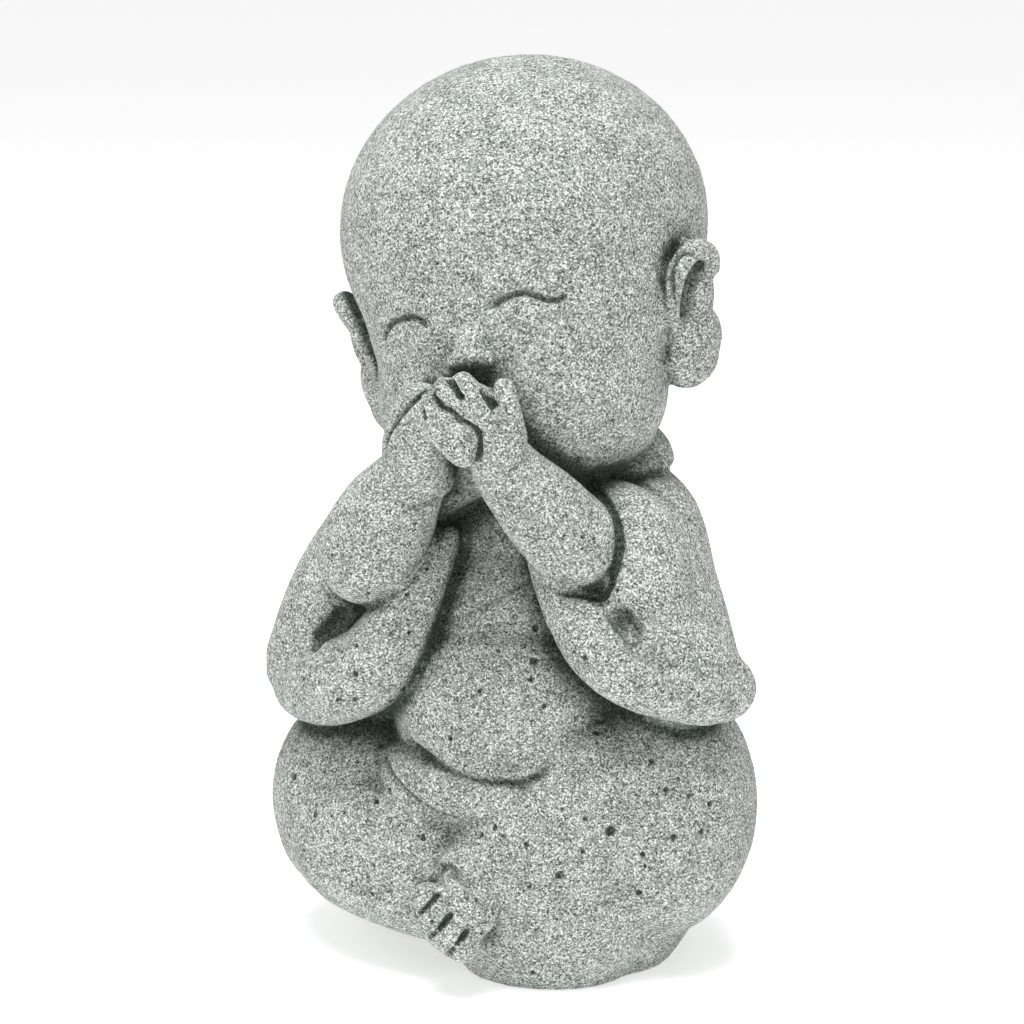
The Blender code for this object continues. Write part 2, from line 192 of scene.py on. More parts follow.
@dataclass(frozen=True)
class Limb:
    """A long mass of clay with round ends, drawn out of a ball along its path.

    Attributes:
        stations: rows of x, y, z and the half widths across and along up, in units. On a closed
            path each row has one more value, the section's roll in degrees.
        up: the direction that the second half width is measured along.
        closed: whether the limb is a ring, such as a collar.
        steps: how many rings it has from one station to the next.
        cap_start: how far the first ring of a round end is from the pole, over the gap between two.
    """

    stations: Path
    up: Row = (0, 0, 1)
    closed: bool = False
    sides: int = 32
    steps: int = 7
    cap_rings: int = 4
    cap_start: float = 0.35

    def model(self, place: Matrix) -> bpy.types.Object:
        """Models the mass, in the place that its body part has."""
        rows = smooth_through(self.stations, self.steps, self.closed)
        return self._ring(rows, place) if self.closed else self._drawn_ball(rows, place)

    def _section(self, row: np.ndarray, tangent: np.ndarray) -> tuple[np.ndarray, np.ndarray]:
        """The half axes of the limb's section at a row."""
        across = np.cross(tangent, self.up)
        across /= np.linalg.norm(across)
        over = np.cross(across, tangent)
        if self.closed:
            c, s = math.cos(math.radians(row[5])), math.sin(math.radians(row[5]))
            across, over = across * c + over * s, over * c - across * s
        return across * row[3], over * row[4]

    def _drawn_ball(self, rows: np.ndarray, place: Matrix) -> bpy.types.Object:
        """An open limb: each ring of a sphere is moved to its section, and the poles to the ends."""
        centres = rows[:, :3]
        tangents = np.gradient(centres, axis=0)
        tangents /= np.linalg.norm(tangents, axis=1)[:, None]
        full = self.cap_rings + self.cap_start
        turns = [math.pi / 2 * (k + self.cap_start) / full for k in range(self.cap_rings, 0, -1)]
        rings = [(0, -math.sin(a), math.cos(a)) for a in turns]
        rings += [(k, 0.0, 1.0) for k in range(len(rows))]
        rings += [(len(rows) - 1, math.sin(a), math.cos(a)) for a in reversed(turns)]
        bpy.ops.mesh.primitive_uv_sphere_add(segments=self.sides, ring_count=len(rings) + 1, radius=1.0)
        obj = bpy.context.object
        for vert in obj.data.vertices:
            level = round(math.acos(max(-1.0, min(1.0, vert.co.z))) * (len(rings) + 1) / math.pi)
            pole = level in (0, len(rings) + 1)
            row, shift, share = rings[min(max(level, 1), len(rings)) - 1]
            end = -1.0 if level == 0 else 1.0
            across, over = self._section(rows[row], tangents[row])
            reach = min(rows[row, 3], rows[row, 4]) * (end if pole else shift)
            angle = math.atan2(vert.co.y, vert.co.x)
            share = 0.0 if pole else share
            point = centres[row] + tangents[row] * reach
            vert.co = place @ Vector(point + (across * math.cos(angle) + over * math.sin(angle)) * share)
        return obj

    def _ring(self, rows: np.ndarray, place: Matrix) -> bpy.types.Object:
        """A closed limb: a torus whose sections are moved to the rows."""
        bpy.ops.mesh.primitive_torus_add(major_segments=len(rows), minor_segments=self.sides,
                                         major_radius=1.0, minor_radius=0.25)
        obj = bpy.context.object
        tangents = np.roll(rows[:, :3], -1, axis=0) - np.roll(rows[:, :3], 1, axis=0)
        tangents /= np.linalg.norm(tangents, axis=1)[:, None]
        for vert in obj.data.vertices:
            turn = math.atan2(vert.co.y, vert.co.x) % (2 * math.pi)
            row = round(turn * len(rows) / (2 * math.pi)) % len(rows)
            angle = math.atan2(vert.co.z, math.hypot(vert.co.x, vert.co.y) - 1.0)
            across, over = self._section(rows[row], tangents[row])
            vert.co = place @ Vector(rows[row, :3] + across * math.cos(angle) + over * math.sin(angle))
        return obj


@dataclass
class Clay:
    """Masses that are fused in one smooth skin.

    Attributes:
        masses: the balls and limbs.
        smoothing: how many times the skin is smoothed.
        grain: the edge of the cells in which the masses are fused, in units.
        place: where the body part's own frame is, in units.
    """

    masses: tuple[Ball | Limb, ...]
    smoothing: int = 3
    grain: float = 0.7
    place: Matrix = field(default_factory=lambda: Matrix.Identity(4))

    def model(self) -> bpy.types.Object:
        """Models the masses and fuses them.

        Returns:
            The fused skin, in metres.
        """
        place = Matrix.Scale(UNIT, 4) @ self.place
        clay = joined([mass.model(place) for mass in self.masses], "clay")
        return fused(clay, self.grain, self.smoothing)


def fused(obj: bpy.types.Object, grain: float, smoothing: int) -> bpy.types.Object:
    """Gives an object one skin of even cells, and smooths it.

    Args:
        obj: overlapping masses in one object.
        grain: the cells' edge, in units.
        smoothing: how many times the skin is smoothed.

    Returns:
        The same object.
    """
    select_only(obj)
    bpy.ops.object.mode_set(mode="EDIT")
    bpy.ops.mesh.select_all(action="SELECT")
    bpy.ops.mesh.normals_make_consistent(inside=False)
    bpy.ops.object.mode_set(mode="OBJECT")
    finish_with(obj, "REMESH", mode="VOXEL", voxel_size=grain * UNIT)
    return finish_with(obj, "SMOOTH", factor=0.5, iterations=smoothing)


@dataclass(frozen=True)
class Head:
    """The bald head, which leans to the figure's right shoulder, with its nose and ears.

    Places are in units, from the middle of the skull, which is at origin. An ear is turned about Z
    and tilted about X, in degrees.
    """

    origin: Row = (-2.5, 4.0, 163.0)
    lean: float = 11.0
    skull: tuple[Ball, ...] = (
        Ball((0.2, 0, 0), (41.0, 42, 37.8)),
        Ball((0.2, -6, -17), (35.8, 36.5, 28)),
        Ball((-2.0, -13, -36), (32.6, 31, 23.5), (-14, 0, 0)),
    )
    nose_bridge: Path = ((0.2, -38.6, -15, 2.4, 1.8), (0.2, -41.6, -19.5, 2.8, 2.4),
                         (0.2, -44.8, -23.4, 3.1, 2.9))
    nose_wing: Row = (3.5, -43.6, -24.4)
    nose_wing_radii: Row = (2.3, 2.5, 2.1)
    ear_place: Row = (0, -12.5, -24)
    ear_turn: float = 50.0
    ear_out: dict[Side, float] = field(default_factory=lambda: {Side.LEFT: 33.5, Side.RIGHT: 34.6})
    ear_tilt: dict[Side, float] = field(default_factory=lambda: {Side.LEFT: 20.0, Side.RIGHT: 9.0})
    ear_plate: tuple[Ball, ...] = (
        Ball((7, 3.0, 2), (6, 3.4, 14)),
        Ball((8.6, 0.4, 3.5), (3.6, 2.8, 7)),
        Ball((7.4, 0.8, -6.5), (7.2, 4.4, 8.5)),
        Ball((6.8, 0.9, -10.8), (7.2, 4.4, 6.8)),
    )
    ear_rim: Path = ((11.4, 0.6, 9.5, 2.2, 2.6), (9.8, -0.6, 13.2, 2.2, 2.6), (5.6, -1.6, 15.0, 2.3, 2.6),
                     (1.6, -1.8, 11.5, 2.2, 2.6), (0.4, -1.2, 5, 2.0, 2.4), (1.2, -0.2, -1, 1.8, 2.2))

    def frame(self) -> Matrix:
        """The head's own frame, whose origin is the middle of the skull."""
        lean = Matrix.Rotation(math.radians(-self.lean), 4, "Y")
        return Matrix.Translation(Vector(self.origin)) @ lean

    def model(self) -> list[bpy.types.Object]:
        """Models the head with its nose, and both ears."""
        skull = Clay(self.skull, smoothing=44, grain=1.54, place=self.frame()).model()
        middle = self.nose_bridge[0][0]
        wings = tuple(Ball((middle + side.value * self.nose_wing[0], *self.nose_wing[1:]),
                           self.nose_wing_radii) for side in Side)
        nose = Clay((Limb(self.nose_bridge), *wings), smoothing=4, place=self.frame()).model()
        face = fused(joined([skull, nose], "clay"), grain=0.7, smoothing=5)
        return [face, self._ear(Side.LEFT), self._ear(Side.RIGHT)]

    def _ear(self, side: Side) -> bpy.types.Object:
        """A long-lobed ear: a plate with a heavy lobe, and a rim that curls over its top and front."""
        mirror = Matrix.Diagonal(Vector((side.value, 1, 1, 1)))
        out = Matrix.Translation(Vector((self.ear_out[side], *self.ear_place[1:])))
        turn = Matrix.Rotation(math.radians(self.ear_turn), 4, "Z")
        tilt = Matrix.Rotation(math.radians(self.ear_tilt[side]), 4, "X")
        rim = Limb(self.ear_rim, up=(0, 1, 0))
        place = self.frame() @ mirror @ out @ turn @ tilt
        return Clay((*self.ear_plate, rim), smoothing=5, grain=0.5, place=place).model()


@dataclass(frozen=True)
class Robe:
    """Trunk, belly, lap cloth, collar and sleeves, and the clay that closes the gaps behind the arms.

    Attributes:
        collar_section: half the band's width and thickness in units, and its roll in degrees.
        collar_dip: how far the ring dips in front, in units.
        collar_curve: the power that keeps the dip to the front.
    """

    trunk: tuple[Ball | Limb, ...] = (
        Ball((0, 2, 90), (28, 23, 28)),
        Ball((0, 9, 70), (38, 29, 46)),
        Ball((0, 11, 52), (43, 28, 36)),
        Ball((0, -3, 76), (26, 24, 26)),
        Limb(((-22, 6, 100, 15, 10), (0, 8, 102, 17, 12), (22, 6, 100, 15, 10))),
        Limb(((0, 5, 96, 21, 19), (1.5, 3, 128, 20, 19)), up=(0, 1, 0)),
        Ball((-1, 6, 33), (50, 36, 34)),
        Ball((0, 13, 24), (42, 31, 32)),
    )
    belly: tuple[Ball, ...] = (Ball((1, -7, 59.5), (29, 29, 27)), Ball((0, -4, 74), (27, 24, 24)))
    lap: tuple[Ball, ...] = (Ball((-1, -10, 43), (30, 28, 15)),)
    collar_middle: Row = (0, 4, 114.8)
    collar_radii: Row = (28.5, 21.0)
    collar_section: Row = (5.4, 2.5, 56)
    collar_dip: float = 17.0
    collar_curve: float = 1.5
    collar_stations: int = 12
    left_sleeve: tuple[Ball | Limb, ...] = (
        Limb(((20, 2, 101.5, 12, 12.5), (26, -1, 98, 14.5, 15), (31, -7, 87, 14.5, 18),
              (36, -11, 77, 14.5, 16.5), (41, -13.5, 68, 14, 10.5)), up=(0, 1, 0)),
        Ball((48.2, -13, 66.8), (9.3, 8.5, 7.9)),
        Limb(((47, -17, 67, 8, 8), (37, -27, 72, 8.5, 8.5), (29, -30, 78, 8.5, 8.5),
              (22, -30, 85, 6.5, 6.5), (15, -26, 93, 4.5, 4.5), (10, -21, 100, 3.5, 3.5))),
        Limb(((24.5, -15, 104, 8, 8), (31, -18.5, 100.5, 9.5, 9.5), (34.3, -20.5, 94, 10.5, 10.5),
              (35, -21.5, 86.5, 10.5, 11), (38.5, -21, 79.5, 9.8, 10), (46, -18.5, 73.5, 8, 8.5)),
             up=(0, 1, 0)),
    )
    right_sleeve: tuple[Limb, ...] = (
        Limb(((-18, 3, 99, 11.5, 12), (-28, -1, 97, 14, 14), (-35.5, -8, 86, 13.8, 17),
              (-40.5, -10, 74, 14.6, 15.5), (-44, -12, 62, 15, 11.5)), up=(0, 1, 0)),
        Limb(((-46, -16, 60, 9, 9), (-36, -25, 63, 9.5, 9.5), (-25, -29, 69, 9.5, 9.5),
              (-19, -29, 78, 8, 8), (-14, -27, 88, 5.5, 5.5), (-11, -22, 97, 4, 4))),
    )
    infill: tuple[Ball | Limb, ...] = (
        Limb(((-25, -13, 80, 9.5, 9.5), (-21, -14.5, 94, 8, 8), (-14.5, -18.5, 106, 6.5, 6.5),
              (0, -18, 114, 7, 7), (13.5, -18.5, 108.5, 6.5, 6.5), (23, -12, 98, 7.5, 7.5),
              (25.5, -13, 82, 9.5, 9.5)), up=(0, 1, 0)),
        Ball((0, 5, 109.5), (27.5, 21.5, 8.5)),
        Limb(((-30, -14, 82, 8, 8), (-27, -15, 70, 8.5, 8.5), (-30, -12, 58, 8, 8)), up=(0, 1, 0)),
    )

    def model(self) -> list[bpy.types.Object]:
        """Models each layer of the robe."""
        return [
            Clay(self.trunk, smoothing=20, grain=1.4).model(),
            Clay(self.belly, smoothing=20).model(),
            Clay(self.lap, smoothing=10).model(),
            self._collar(),
            Clay(self.left_sleeve, smoothing=8).model(),
            Clay(self.right_sleeve, smoothing=8).model(),
            Clay(self.infill, smoothing=4).model(),
        ]

    def _collar(self) -> bpy.types.Object:
        """A flat band that leans on the neck and dips into the chest."""
        x, y, z = self.collar_middle
        stations = []
        for k in range(self.collar_stations):
            a = 2 * math.pi * k / self.collar_stations
            across, back = self.collar_radii[0] * math.sin(a), self.collar_radii[1] * math.cos(a)
            drop = self.collar_dip * max(0.0, -math.cos(a)) ** self.collar_curve
            stations.append((x + across, y + back, z - drop, *self.collar_section))
        return Clay((Limb(tuple(stations), closed=True),), smoothing=3).model()


@dataclass(frozen=True)
class Legs:
    """The crossed legs under the robe, the left shin over the right one, and the left foot."""

    left: tuple[Ball | Limb, ...] = (
        Ball((30, -5, 37), (25.0, 25, 31)),
        Ball((10.5, -15.5, 24), (27, 23.5, 33)),
        Ball((15, -3, 23), (28, 27, 32)),
        Limb(((26, -11, 35, 20, 28), (20, -20, 33, 17, 26), (10, -28, 27, 14, 17), (1, -34, 23, 9, 11))),
    )
    right: tuple[Ball | Limb, ...] = (
        Ball((-33.3, -4, 32), (26.3, 25, 27.4)),
        Ball((-14, -19, 29), (21, 17.5, 16)),
        Limb(((-34, -10, 28.5, 22, 21.7), (-27, -20, 25.4, 18.2, 17.8), (-13, -27, 20.6, 14, 13.2),
              (0, -29, 18, 11, 11))),
    )
    foot: tuple[Ball | Limb, ...] = (
        Ball((1.5, -41.4, 20.5), (7.5, 5.5, 8.5), (0, 38, 0)),
        Limb(((-6.3, -43.8, 21.6, 4.4, 4.2), (-3.2, -44.1, 16.4, 4.8, 4.4), (1.6, -43.2, 12.4, 4.4, 4.0))),
    )

    def model(self) -> list[bpy.types.Object]:
        """Models both legs and the foot."""
        legs = [Clay(masses, smoothing=34).model() for masses in (self.left, self.right)]
        return [*legs, Clay(self.foot, smoothing=3).model()]


@dataclass(frozen=True)
class Hands:
    """Both bare forearms and hands. The left hand lies over the right one, on the mouth."""

    left_forearm: tuple[Ball | Limb, ...] = (
        Limb(((21.8, -28, 99.3, 10.2, 10.2), (15.8, -34, 108, 9.3, 9.3), (11.4, -39, 115, 7.9, 7.6),
              (9.4, -42, 120, 7.2, 6.4))),
        Ball((9.6, -46, 126.2), (7.2, 4.6, 9), (0, -20, 0)),
        Ball((2.6, -45.2, 129), (8.2, 3.5, 6.6), (0, -35, 0)),
    )
    left_fingers: tuple[Path, ...] = (
        ((9.6, -48.5, 129.2, 3.3, 2.9), (6.8, -49.0, 133.2, 2.9, 2.7), (4.3, -48.9, 136.4, 2.3, 2.2)),
        ((6.2, -48.7, 128.5, 3.2, 2.8), (2.7, -49.6, 132, 2.8, 2.6), (0.3, -49.6, 134.9, 2.4, 2.3)),
        ((2.8, -48.4, 127, 3.1, 2.7), (-0.8, -49.2, 129.9, 2.7, 2.5), (-3.0, -49.0, 132, 2.2, 2.1)),
        ((-2.4, -47, 125, 2.7, 2.4), (-4.9, -47.0, 127.8, 2.5, 2.2), (-6.4, -46.7, 130.2, 2.0, 1.9)),
        ((13.4, -45, 124, 3.6, 3.4), (13.3, -47.0, 131, 3.0, 2.8), (12.6, -47.0, 135, 2.4, 2.4)),
        ((-2.2, -48.7, 128, 3.0, 2.7), (1.3, -49.4, 125, 4.4, 3.8), (4.2, -48.5, 121.6, 4.2, 3.6)),
    )
    right_forearm: Path = ((-26, -28, 94, 12, 12), (-20.6, -31, 103, 11, 11), (-15.2, -34, 110, 8.8, 8.8))
    right_hand: Path = ((-11.8, -34, 114, 8.2, 7.5), (-10.4, -37.5, 119, 8.2, 7), (-8, -42, 125, 7.5, 5.8),
                        (-6.2, -43.8, 130, 6.2, 4.6))
    right_thumb: Path = ((-12.6, -39.8, 126.5, 2.6, 2.4), (-10.4, -41, 132.4, 2.2, 2.0))

    def model(self) -> list[bpy.types.Object]:
        """Models the left arm and hand, and the right ones."""
        arm = Clay(self.left_forearm, smoothing=6).model()
        fingers = Clay(tuple(Limb(path) for path in self.left_fingers), smoothing=2, grain=0.5).model()
        left = fused(joined([arm, fingers], "clay"), grain=0.5, smoothing=3)
        right = Clay((Limb(self.right_forearm),), smoothing=8).model()
        hand = Clay((Limb(self.right_hand, up=(0, 1, 0)), Limb(self.right_thumb, up=(0, 1, 0))))
        return [left, right, hand.model()]


@dataclass(frozen=True)
class Line:
    """A line pressed into the figure.

    Attributes:
        cut: what it looks like across its width.
        width: half its width, in units. A hem's is how far its lower side takes to come back.
        depth: how deep it is, in units.
        stations: the places that it runs through, each moved to the nearest point of the skin.
    """

    cut: Cut
    width: float
    depth: float
    stations: Path


@dataclass(frozen=True)
class Carving:
    """The lines of the face, hands, feet and cloth.

    Attributes:
        margin: how far past a line's width vertices are looked for, in units.
        fading: the share of a line at each end in which it fades.
        groove_end: how deep a groove starts, over its full depth.
        hem_edge: how wide the steep upper side of a hem is, in units.
        hem_curve: the power with which its lower side comes back.
    """

    samples: int = 14
    margin: float = 3.0
    fading: float = 0.16
    groove_end: float = 0.35
    hem_edge: float = 0.9
    hem_curve: float = 1.3
    lines: tuple[Line, ...] = (
        # Closed eyes
        Line(Cut.GROOVE, 1.0, 1.2, (
            (6.1, -37.3, 149.9), (8.6, -36.5, 152.2), (13, -35.1, 153.4), (17.3, -33.5, 151.9),
            (19.3, -32.3, 152), (21, -31, 153.3))),
        Line(Cut.GROOVE, 1.0, 1.2, (
            (-22.6, -28.7, 140.3), (-21.2, -30.3, 143), (-18.7, -32.3, 145.4), (-15, -34.3, 146.8),
            (-11.9, -35.7, 147), (-8.9, -36.7, 145.6))),
        # Left hand: between the fingers, round the heel of the hand, and beside the thumb
        Line(Cut.GROOVE, 0.75, 1.5, ((1.4, -50.4, 137.8), (3.1, -51.2, 135.6), (5.2, -51.8, 133))),
        Line(Cut.GROOVE, 0.7, 1.2, (
            (-1.9, -49.8, 134), (-0.5, -51.2, 132.4), (0.8, -51.8, 131), (2.9, -52, 130.3),
            (4.8, -52, 128.6), (6.8, -51.6, 127.6), (8.2, -51, 126.2), (8.5, -50.5, 124.2),
            (8.4, -50, 121.6), (7.4, -49, 119))),
        Line(Cut.GROOVE, 0.9, 1.2, ((-4.5, -49.8, 131.6), (-3.9, -50, 129.5), (-2.9, -50.6, 128))),
        Line(Cut.GROOVE, 1.0, 1.5, ((9.7, -49.4, 135.6), (10.4, -50, 133.7), (11.8, -50.2, 131.4))),
        # The fold of the right wrist
        Line(Cut.HEM, 5.0, 1.6, (
            (-15, -40.7, 109.7), (-12.9, -40.3, 108.7), (-10.4, -38.6, 108.1), (-7.7, -36.3, 109),
            (-4.9, -36.3, 111.5), (-2.9, -33.3, 112.5))),
        # Crossed collar, and a fold of the belly
        Line(Cut.GROOVE, 0.7, 0.5, (
            (-6.2, -26.2, 80.6), (0.8, -25.6, 84.2), (5.3, -23.9, 86.9), (8.7, -21.9, 88.9))),
        Line(Cut.FOLD, 2.6, 0.9, ((-8.6, -34, 62.2), (-3.3, -35.5, 59.2), (2.9, -35.6, 58.5))),
        # Hems of the belly and of the lap cloth
        Line(Cut.HEM, 4.8, 2.2, (
            (-18.8, -27.1, 54.1), (-9.7, -32, 50.5), (-1.6, -34.5, 48.1), (6.5, -34.2, 47.3),
            (14.5, -34, 49.8), (19.3, -31.4, 54.1))),
        Line(Cut.HEM, 4.8, 2.2, (
            (-25.2, -23.6, 48.4), (-18, -32.2, 44.5), (-11.6, -36.1, 41.2), (-5.3, -37.1, 38.7),
            (-0.4, -37, 37.4))),
        # Hem over the foot, and between the toes
        Line(Cut.GROOVE, 1.4, 1.2, (
            (-6.6, -39.6, 26.8), (-3, -41.4, 28.7), (1.1, -43.2, 27.4), (4.4, -44.3, 24.9),
            (5.8, -44.3, 21.7))),
        Line(Cut.GROOVE, 0.8, 1.3, ((-3, -45.5, 24.2), (-6.3, -46.5, 19.5))),
        Line(Cut.GROOVE, 0.8, 1.3, ((0.6, -46, 20.5), (-3.6, -46, 15.4))),
        Line(Cut.GROOVE, 0.8, 1.3, ((3.6, -45.4, 16.8), (-0.3, -45, 12))),
        Line(Cut.GROOVE, 0.8, 1.2, ((5.8, -44, 12), (3.6, -43, 10))),
        # Folds low on the legs
        Line(Cut.HEM, 3.8, 1.2, (
            (-37.5, -34.5, 23), (-28.8, -38.1, 22.2), (-20.2, -39.8, 21.4), (-14.7, -40.3, 22.2))),
        Line(Cut.HEM, 3.6, 1.2, (
            (10.2, -40.9, 30.2), (13.6, -40.6, 27.8), (18.7, -38.9, 26.5), (22.2, -37.7, 28.4))),
        Line(Cut.HEM, 3.6, 1.0, (
            (25.8, -36.4, 22.1), (31.7, -33.7, 23.8), (38, -28.7, 24.8), (46.2, -22.5, 27.5))),
        # Folds of the sleeves
        Line(Cut.FOLD, 3.8, 2.4, (
            (31.9, -30.9, 86.9), (32.9, -31, 84), (34.7, -32.2, 81.3), (36.8, -33.1, 78.7),
            (39.1, -32.1, 76.3), (42.3, -30.3, 74.4), (47.1, -28.1, 72.4))),
        Line(Cut.GROOVE, 1.0, 1.1, (
            (20.2, -19.1, 112), (24.4, -21.3, 109.2), (28.7, -25.7, 106.3), (31, -28, 102.7),
            (31.8, -29, 98.5), (31.3, -30, 94), (30.2, -30.5, 90.5), (26.5, -32, 88.2), (21, -34, 89.8))),
        Line(Cut.FOLD, 3.2, 1.6, (
            (-33.3, -25.2, 80.4), (-35.5, -23.8, 77.2), (-38.7, -24.2, 72.5), (-39.3, -30.5, 70))),
        # The left ear: inside its rim, and along the front of the lobe
        Line(Cut.GROOVE, 1.0, 1.2, (
            (43.1, -9, 159.3), (41.7, -11.4, 160.3), (40, -11.8, 160.5), (38.3, -12.1, 159.6),
            (37.3, -12.8, 157.5), (37.3, -13.4, 155.1), (37.6, -13.1, 152.3), (37.9, -11.8, 149.4))),
        # The right hand against the cheek
        Line(Cut.GROOVE, 0.7, 1.0, (
            (-4.2, -46, 133.1), (-6.6, -47.9, 131.8), (-9.1, -47.9, 129.3), (-11.7, -47.1, 126.5),
            (-14.4, -45.1, 123.3), (-17.1, -41.5, 118.9))),
        # The ledge under the collar, and two fine folds of the shoulder
        Line(Cut.HEM, 5.0, 1.6, (
            (22.5, -16, 111.6), (23.6, -9.2, 110.7), (26.2, -6.9, 110.9), (29.5, -3.1, 111),
            (31.4, 3.6, 110.4))),
        Line(Cut.GROOVE, 0.55, 0.45, (
            (28.9, -8, 110), (32.1, -8.7, 108.1), (35.3, -8.7, 105.9), (38.8, -8, 102.5))),
        Line(Cut.GROOVE, 0.55, 0.45, ((28, -9.4, 109.3), (31.1, -10.4, 107.5), (33.4, -11, 105.8))),
    )

    def press(self, places: np.ndarray, normals: np.ndarray, skin: BVHTree) -> np.ndarray:
        """Presses every line into the skin.

        Args:
            places: the vertices, in units.
            normals: their normals.
            skin: the same skin as a search tree, in units.

        Returns:
            How deep each vertex sinks along its normal, in units.
        """
        sunk = np.zeros(len(places))
        for line in self.lines:
            path = smooth_through(line.stations, self.samples)
            path = np.array([skin.find_nearest(Vector(point))[0] for point in path])
            reach = line.width + self.margin
            near = np.flatnonzero(((places > path.min(0) - reach) & (places < path.max(0) + reach)).all(1))
            gaps = np.linalg.norm(places[near, None] - path[None], axis=2)
            nearest = gaps.argmin(1)
            gaps = gaps.min(1)
            along = np.gradient(path, axis=0)
            along /= np.linalg.norm(along, axis=1)[:, None] + 1e-9
            left = np.cross(normals[near], along[nearest])
            side = ((places[near] - path[nearest]) * left).sum(1)
            ends = np.minimum(nearest, len(path) - 1 - nearest) / (len(path) * self.fading)
            start = self.groove_end if line.cut is Cut.GROOVE else 0.0
            fade = np.clip(ends + start, 0, 1)
            sunk[near] = np.maximum(sunk[near], self._profile(line, gaps, side) * fade)
        return sunk

    def _profile(self, line: Line, gaps: np.ndarray, side: np.ndarray) -> np.ndarray:
        """How deep a line is at a distance from its middle, on either side of it."""
        share = np.clip(gaps / line.width, 0, 1)
        if line.cut is Cut.GROOVE:
            return line.depth * (1 - share ** 2)
        if line.cut is Cut.FOLD:
            return line.depth * (1 - share ** 2) ** 2
        edge = np.clip(0.5 - side / self.hem_edge, 0, 1)
        return line.depth * edge * (1 - share) ** self.hem_curve


@dataclass(frozen=True)
class Pores:
    """Air-bubble pores of the casting: those seen from the front, and scattered ones.

    Attributes:
        seen: rows of x, y, z and the radius at the widest, in units.
        seen_size: the share of that radius that is pressed in.
        scattered: how many more there are.
        radii: the smallest and the largest radius of the scattered ones, in units.
        seed: the seed of the scattered ones.
        cuts: how often each edge is cut round a pore, so that its rim is round.
        cut_reach: how far from a pore they are cut, over its radius, and what is added in units.
        depth: how deep a pore is, over its radius.
        bowl: the power of its section.
    """

    seen: Path = (
        (31.3, -32, 38, 1.5), (21.8, -37.7, 28.6, 1.35), (12.5, -28.8, 73, 1.05), (27.4, -38.1, 77.1, 0.9),
        (-46.9, -23.8, 39.9, 1.1), (-25.3, -38.2, 69, 1.0), (26.4, -34.7, 40.9, 0.8),
        (41.6, -25.4, 46.4, 0.9), (45.8, -22.8, 44.8, 0.75), (49.4, -19.5, 42.5, 0.8),
        (43.4, -25.7, 36.2, 0.85), (48.3, -21.5, 36.7, 0.8), (38, -24.8, 52.3, 0.8), (35.8, -26.2, 23, 0.9),
        (14.3, -34, 4.8, 0.8), (-42.2, -30.9, 24, 0.8), (-38.2, -31.8, 34.1, 0.9), (12.6, -30.9, 69.5, 0.7),
        (41.6, -19.4, 57.3, 0.8), (26.2, -35.5, 33.8, 0.7), (37.3, -28.3, 32.3, 0.85),
        (29.1, -35.9, 102.5, 0.6), (26.9, -37.7, 102.9, 0.6), (-15, -33.5, 86.5, 0.7),
        (-17.5, -36.6, 78.1, 0.75), (-14, -34.8, 78.5, 0.65), (-25.5, -37, 74.9, 0.7),
        (41.1, -14.9, 94.8, 0.75), (39.8, -6.4, 101.6, 0.7), (15.7, -31.1, 63.9, 0.7),
        (2.1, -34.5, 66.8, 0.7), (4.9, -30.1, 74.8, 0.6),
    )
    seen_size: float = 0.85
    scattered: int = 220
    lowest: float = 3.0
    highest: float = 112.0
    radii: Row = (0.35, 0.75)
    seed: int = 5
    cuts: int = 2
    cut_reach: Row = (1.5, 0.3)
    depth: float = 0.85
    bowl: float = 0.7

    def place(self, places: np.ndarray, skin: BVHTree) -> np.ndarray:
        """Chooses where the pores are.

        Args:
            places: the skin's vertices, in units.
            skin: the same skin as a search tree, in units.

        Returns:
            Rows of x, y, z and the radius, in units, all on the skin.
        """
        rows = [(*skin.find_nearest(Vector(row[:3]))[0], row[3] * self.seen_size) for row in self.seen]
        chance = np.random.RandomState(self.seed)
        robe = places[(places[:, 2] < self.highest) & (places[:, 2] > self.lowest)]
        for spot in robe[chance.randint(0, len(robe), self.scattered)]:
            radius = self.radii[0] + (self.radii[1] - self.radii[0]) * chance.rand() ** 2
            rows.append((*spot, radius))
        return np.array(rows)


